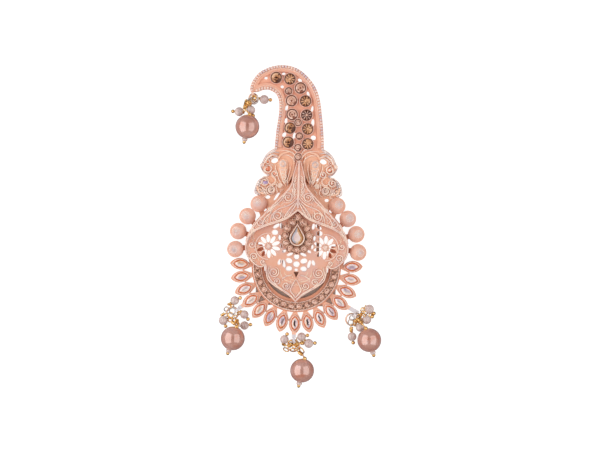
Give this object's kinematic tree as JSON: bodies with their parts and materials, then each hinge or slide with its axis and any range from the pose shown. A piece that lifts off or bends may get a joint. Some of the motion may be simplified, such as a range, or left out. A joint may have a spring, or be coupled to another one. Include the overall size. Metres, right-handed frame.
{
  "type": "kalgi turban ornament",
  "caption": "Flat cast kalgi: a hooked plume over a pierced trefoil, a curved leaf and a ring of cut stones, with beaded drops below and at the plume's tip and a forked pin behind.",
  "frame": {"origin": "middle of the whole object's outline, on the surface that it lies on", "axes": "+Y towards the plume, +Z out of its front"},
  "size_m": [0.0684, 0.1353, 0.01],
  "materials": {
    "enamelled_casting": "peach-pink baked enamel over a zinc alloy casting",
    "rose_gold": "rose-gold plating",
    "gold_wire": "bright gold plating",
    "pin_wire": "dark plated wire",
    "milk_glass": "cut milk glass over foil",
    "champagne_glass": "cut champagne glass over foil",
    "half_pearl": "moulded half-pearl with a peach pearl lacquer",
    "pearl": "moulded bead with a rose pearl lacquer",
    "small_bead": "tumbled pale lilac glass bead"
  },
  "bodies": {
    "root": {"frame": "enamelled_casting", "trefoil_lattice": "enamelled_casting", "upper_leaf": "enamelled_casting", "centre_setting": "enamelled_casting", "back_pin": "pin_wire", "teardrop_stone": "milk_glass", "plume_stones": "champagne_glass", "crescent_stones": "champagne_glass", "centre_stones": "champagne_glass", "dome_left_1": "half_pearl", "dome_left_2": "half_pearl", "dome_left_3": "half_pearl", "dome_left_4": "half_pearl", "dome_right_1": "half_pearl", "dome_right_2": "half_pearl", "dome_right_3": "half_pearl", "dome_right_4": "half_pearl", "marquise_1": "milk_glass", "marquise_2": "milk_glass", "marquise_3": "milk_glass", "marquise_4": "milk_glass", "marquise_5": "milk_glass", "marquise_6": "milk_glass", "marquise_7": "milk_glass", "marquise_8": "milk_glass", "marquise_9": "milk_glass", "marquise_10": "milk_glass", "marquise_11": "milk_glass", "marquise_12": "milk_glass", "marquise_13": "milk_glass", "marquise_14": "milk_glass", "marquise_15": "milk_glass", "tip_jump_ring": "rose_gold", "tip_pearl": "pearl", "tip_pearl_pin": "gold_wire", "tip_small_beads": "small_bead", "tip_bead_pins": "gold_wire", "left_jump_ring": "rose_gold", "left_pearl": "pearl", "left_pearl_pin": "gold_wire", "left_small_beads": "small_bead", "left_bead_pins": "gold_wire", "centre_jump_ring": "rose_gold", "centre_pearl": "pearl", "centre_pearl_pin": "gold_wire", "centre_small_beads": "small_bead", "centre_bead_pins": "gold_wire", "right_jump_ring": "rose_gold", "right_pearl": "pearl", "right_pearl_pin": "gold_wire", "right_small_beads": "small_bead", "right_bead_pins": "gold_wire"}
  },
  "joints": []
}
